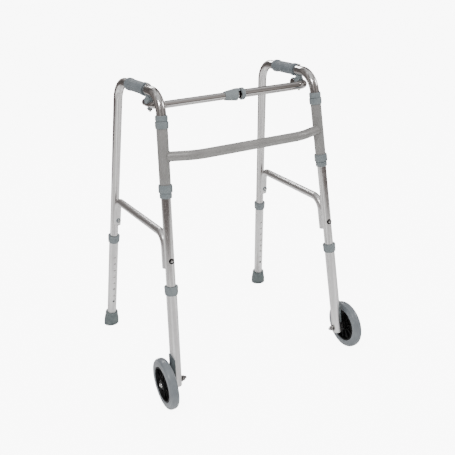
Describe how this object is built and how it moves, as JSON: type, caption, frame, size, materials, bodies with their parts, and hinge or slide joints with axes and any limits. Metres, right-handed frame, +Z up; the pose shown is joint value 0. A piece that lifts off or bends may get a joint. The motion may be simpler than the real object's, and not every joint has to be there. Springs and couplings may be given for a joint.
{
  "type": "walking frame",
  "caption": "Folding walking frame: two bright tube sides on swivel sleeves, curved front crossbar, latched spreader bar, front wheels and telescoping legs on rubber tips.",
  "frame": {"origin": "on the floor, under the middle of the frame's overall box", "axes": "+Z up, -Y to the front where the wheels are, +X to the user's left-hand side"},
  "size_m": [0.638, 0.6282, 0.8594],
  "materials": {
    "painted_frame": "semi-gloss warm grey paint",
    "grey_plastic": "moulded, satin",
    "bright_tube": "bright anodised",
    "grip": "ribbed soft grip",
    "tip_rubber": "moulded rubber",
    "tyre": "smooth solid grey tyre",
    "hub": "black moulding",
    "steel": "zinc plated",
    "chrome_tube": "polished",
    "black_plastic": "moulded"
  },
  "bodies": {
    "front_frame": {"front_crossbar": "painted_frame", "sleeve_right": "painted_frame", "sleeve_left": "painted_frame", "sleeve_bushing_upper_right": "grey_plastic", "sleeve_bushing_upper_left": "grey_plastic", "sleeve_bushing_lower_right": "grey_plastic", "sleeve_bushing_lower_left": "grey_plastic"},
    "right_side_frame": {"side_tube_right": "bright_tube", "hand_grip_right": "grip", "side_brace_right": "bright_tube", "brace_rivet_front_right": "steel", "brace_rivet_rear_right": "steel", "stop_collar_upper_right": "grey_plastic", "stop_collar_lower_right": "grey_plastic", "bar_saddle_upper_right": "grey_plastic", "bar_pivot_bolt_right": "steel", "bar_pivot_nut_right": "steel"},
    "right_spreader_half": {"spreader_tube_right": "chrome_tube", "bar_saddle_lower_right": "grey_plastic", "latch_housing": "grey_plastic"},
    "front_right_leg": {"front_leg_tube_right": "bright_tube", "front_leg_collar_right": "grey_plastic", "axle_bolt_right": "steel", "axle_nut_right": "steel", "axle_spacer_right": "steel"},
    "rear_right_leg": {"rear_leg_tube_right": "bright_tube", "rear_leg_collar_right": "grey_plastic", "rear_tip_right": "tip_rubber"},
    "right_wheel": {"tyre_right": "tyre", "wheel_hub_right": "hub", "wheel_bearing_right": "steel"},
    "front_right_snap": {"snap_button_front_right": "steel"},
    "rear_right_snap": {"snap_button_rear_right": "steel"},
    "left_side_frame": {"side_tube_left": "bright_tube", "hand_grip_left": "grip", "side_brace_left": "bright_tube", "brace_rivet_front_left": "steel", "brace_rivet_rear_left": "steel", "stop_collar_upper_left": "grey_plastic", "stop_collar_lower_left": "grey_plastic", "bar_saddle_upper_left": "grey_plastic", "bar_pivot_bolt_left": "steel", "bar_pivot_nut_left": "steel"},
    "left_spreader_half": {"spreader_tube_left": "chrome_tube", "bar_saddle_lower_left": "grey_plastic", "latch_ring": "grey_plastic"},
    "front_left_leg": {"front_leg_tube_left": "bright_tube", "front_leg_collar_left": "grey_plastic", "axle_bolt_left": "steel", "axle_nut_left": "steel", "axle_spacer_left": "steel"},
    "rear_left_leg": {"rear_leg_tube_left": "bright_tube", "rear_leg_collar_left": "grey_plastic", "rear_tip_left": "tip_rubber"},
    "left_wheel": {"tyre_left": "tyre", "wheel_hub_left": "hub", "wheel_bearing_left": "steel"},
    "front_left_snap": {"snap_button_front_left": "steel"},
    "rear_left_snap": {"snap_button_rear_left": "steel"},
    "latch_push_button": {"latch_button": "black_plastic"}
  },
  "joints": [
    {"name": "right_fold", "type": "hinge", "parent": "front_frame", "child": "right_side_frame", "pos_m": [-0.23163, -0.1936, 0.69], "axis": [-0.0611, -0.0781, -0.9951], "range_deg": [0, 78]},
    {"name": "right_bar_swing", "type": "hinge", "parent": "right_side_frame", "child": "right_spreader_half", "pos_m": [-0.2247, -0.10877, 0.808], "axis": [0, 0, -1], "range_deg": [-90, 0]},
    {"name": "front_right_leg_slide", "type": "slide", "parent": "right_side_frame", "child": "front_right_leg", "axis": [-0.0611, -0.0781, -0.9951], "range_m": [-0.0254, 0.127]},
    {"name": "front_right_button_press", "type": "slide", "parent": "right_side_frame", "child": "front_right_snap", "axis": [0.0377, -0.9964, 0.0759], "range_m": [0, 0.0045], "stiffness_N_per_m": 800},
    {"name": "rear_right_leg_slide", "type": "slide", "parent": "right_side_frame", "child": "rear_right_leg", "axis": [-0.0694, 0.2153, -0.9741], "range_m": [-0.0254, 0.127]},
    {"name": "rear_right_button_press", "type": "slide", "parent": "right_side_frame", "child": "rear_right_snap", "axis": [-0.0183, 0.976, 0.217], "range_m": [0, 0.0045], "stiffness_N_per_m": 800},
    {"name": "right_wheel_spin", "type": "hinge", "parent": "front_right_leg", "child": "right_wheel", "pos_m": [-0.30108, -0.24212, 0.072], "axis": [1, 0, 0], "continuous": true},
    {"name": "left_fold", "type": "hinge", "parent": "front_frame", "child": "left_side_frame", "pos_m": [0.23163, -0.1936, 0.69], "axis": [-0.0611, 0.0781, 0.9951], "range_deg": [0, 36]},
    {"name": "left_bar_swing", "type": "hinge", "parent": "left_side_frame", "child": "left_spreader_half", "pos_m": [0.2247, -0.10877, 0.808], "axis": [0, 0, 1], "range_deg": [-90, 0]},
    {"name": "front_left_leg_slide", "type": "slide", "parent": "left_side_frame", "child": "front_left_leg", "axis": [0.0611, -0.0781, -0.9951], "range_m": [-0.0254, 0.127]},
    {"name": "front_left_button_press", "type": "slide", "parent": "left_side_frame", "child": "front_left_snap", "axis": [-0.0377, -0.9964, 0.0759], "range_m": [0, 0.0045], "stiffness_N_per_m": 800},
    {"name": "rear_left_leg_slide", "type": "slide", "parent": "left_side_frame", "child": "rear_left_leg", "axis": [0.0694, 0.2153, -0.9741], "range_m": [-0.0254, 0.127]},
    {"name": "rear_left_button_press", "type": "slide", "parent": "left_side_frame", "child": "rear_left_snap", "axis": [0.0183, 0.976, 0.217], "range_m": [0, 0.0045], "stiffness_N_per_m": 800},
    {"name": "left_wheel_spin", "type": "hinge", "parent": "front_left_leg", "child": "left_wheel", "pos_m": [0.30108, -0.24212, 0.072], "axis": [1, 0, 0], "continuous": true},
    {"name": "latch_button_press", "type": "slide", "parent": "right_spreader_half", "child": "latch_push_button", "axis": [0, 1, 0], "range_m": [0, 0.0025], "stiffness_N_per_m": 600}
  ]
}
